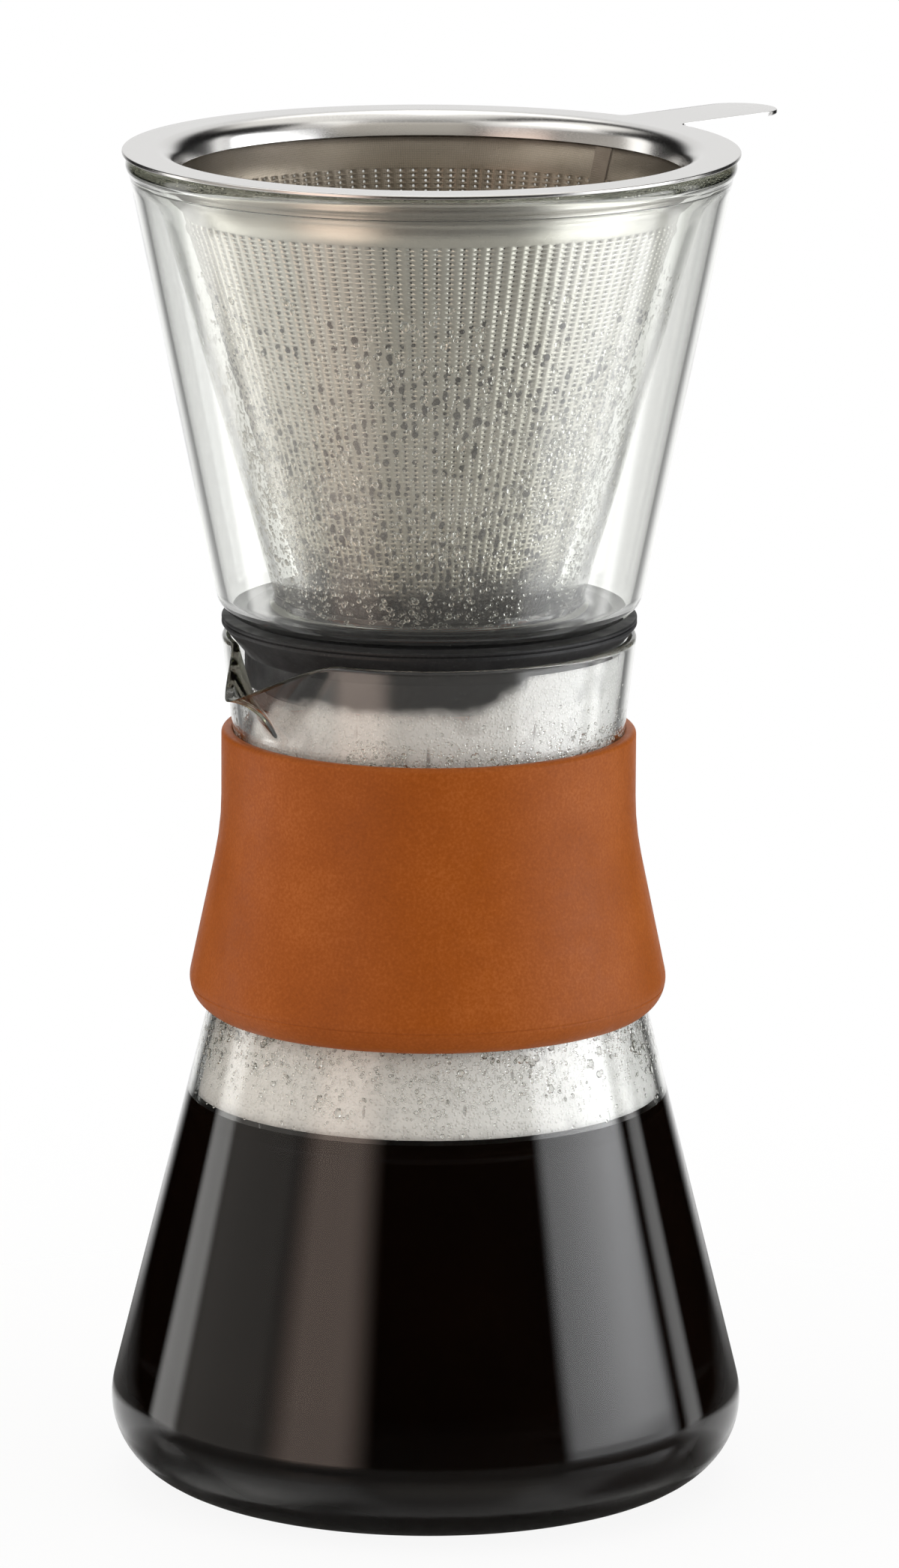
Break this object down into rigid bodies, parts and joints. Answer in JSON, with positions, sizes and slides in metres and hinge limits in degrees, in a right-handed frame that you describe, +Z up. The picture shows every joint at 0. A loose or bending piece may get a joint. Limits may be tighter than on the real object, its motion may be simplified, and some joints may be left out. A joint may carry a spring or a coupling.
{
  "type": "pour-over coffee maker",
  "caption": "Glass pour-over coffee maker: waisted carafe with spout and silicone grip, sealing gasket, hollow-walled glass dripper and lift-out steel filter with a tab.",
  "frame": {"origin": "centre of the carafe's flat base, on the table", "axes": "+Z up along the common axis of carafe, dripper and filter; seen from -Y the spout points left and forward, the filter's tab right and back"},
  "size_m": [0.1307, 0.1266, 0.2639],
  "materials": {
    "carafe_glass": "clear borosilicate glass, fire-polished rim",
    "dripper_glass": "clear borosilicate glass, misted inside",
    "grip_silicone": "matte terracotta silicone with fine specks",
    "gasket_silicone": "matte black silicone",
    "coffee": "still dark liquid",
    "rim_steel": "satin flange with a polished collar",
    "cone_steel": "satin perforated sheet",
    "mesh_steel": "fine woven wire, coffee-stained"
  },
  "bodies": {
    "carafe": {"carafe": "carafe_glass", "grip_sleeve": "grip_silicone", "coffee": "coffee"},
    "gasket": {"gasket": "gasket_silicone"},
    "dripper": {"dripper_outer_wall": "dripper_glass", "dripper_inner_wall": "dripper_glass"},
    "filter": {"filter_rim": "rim_steel", "filter_outer_cone": "cone_steel", "filter_mesh_cone": "mesh_steel", "filter_base_cap": "cone_steel", "filter_mesh_disc": "mesh_steel"}
  },
  "joints": [
    {"name": "gasket_lift", "type": "slide", "parent": "carafe", "child": "gasket", "axis": [0, 0, 1], "range_m": [0, 0.04]},
    {"name": "dripper_lift", "type": "slide", "parent": "gasket", "child": "dripper", "axis": [0, 0, 1], "range_m": [0, 0.035]},
    {"name": "filter_lift", "type": "slide", "parent": "dripper", "child": "filter", "axis": [0, 0, 1], "range_m": [0, 0.115]}
  ]
}
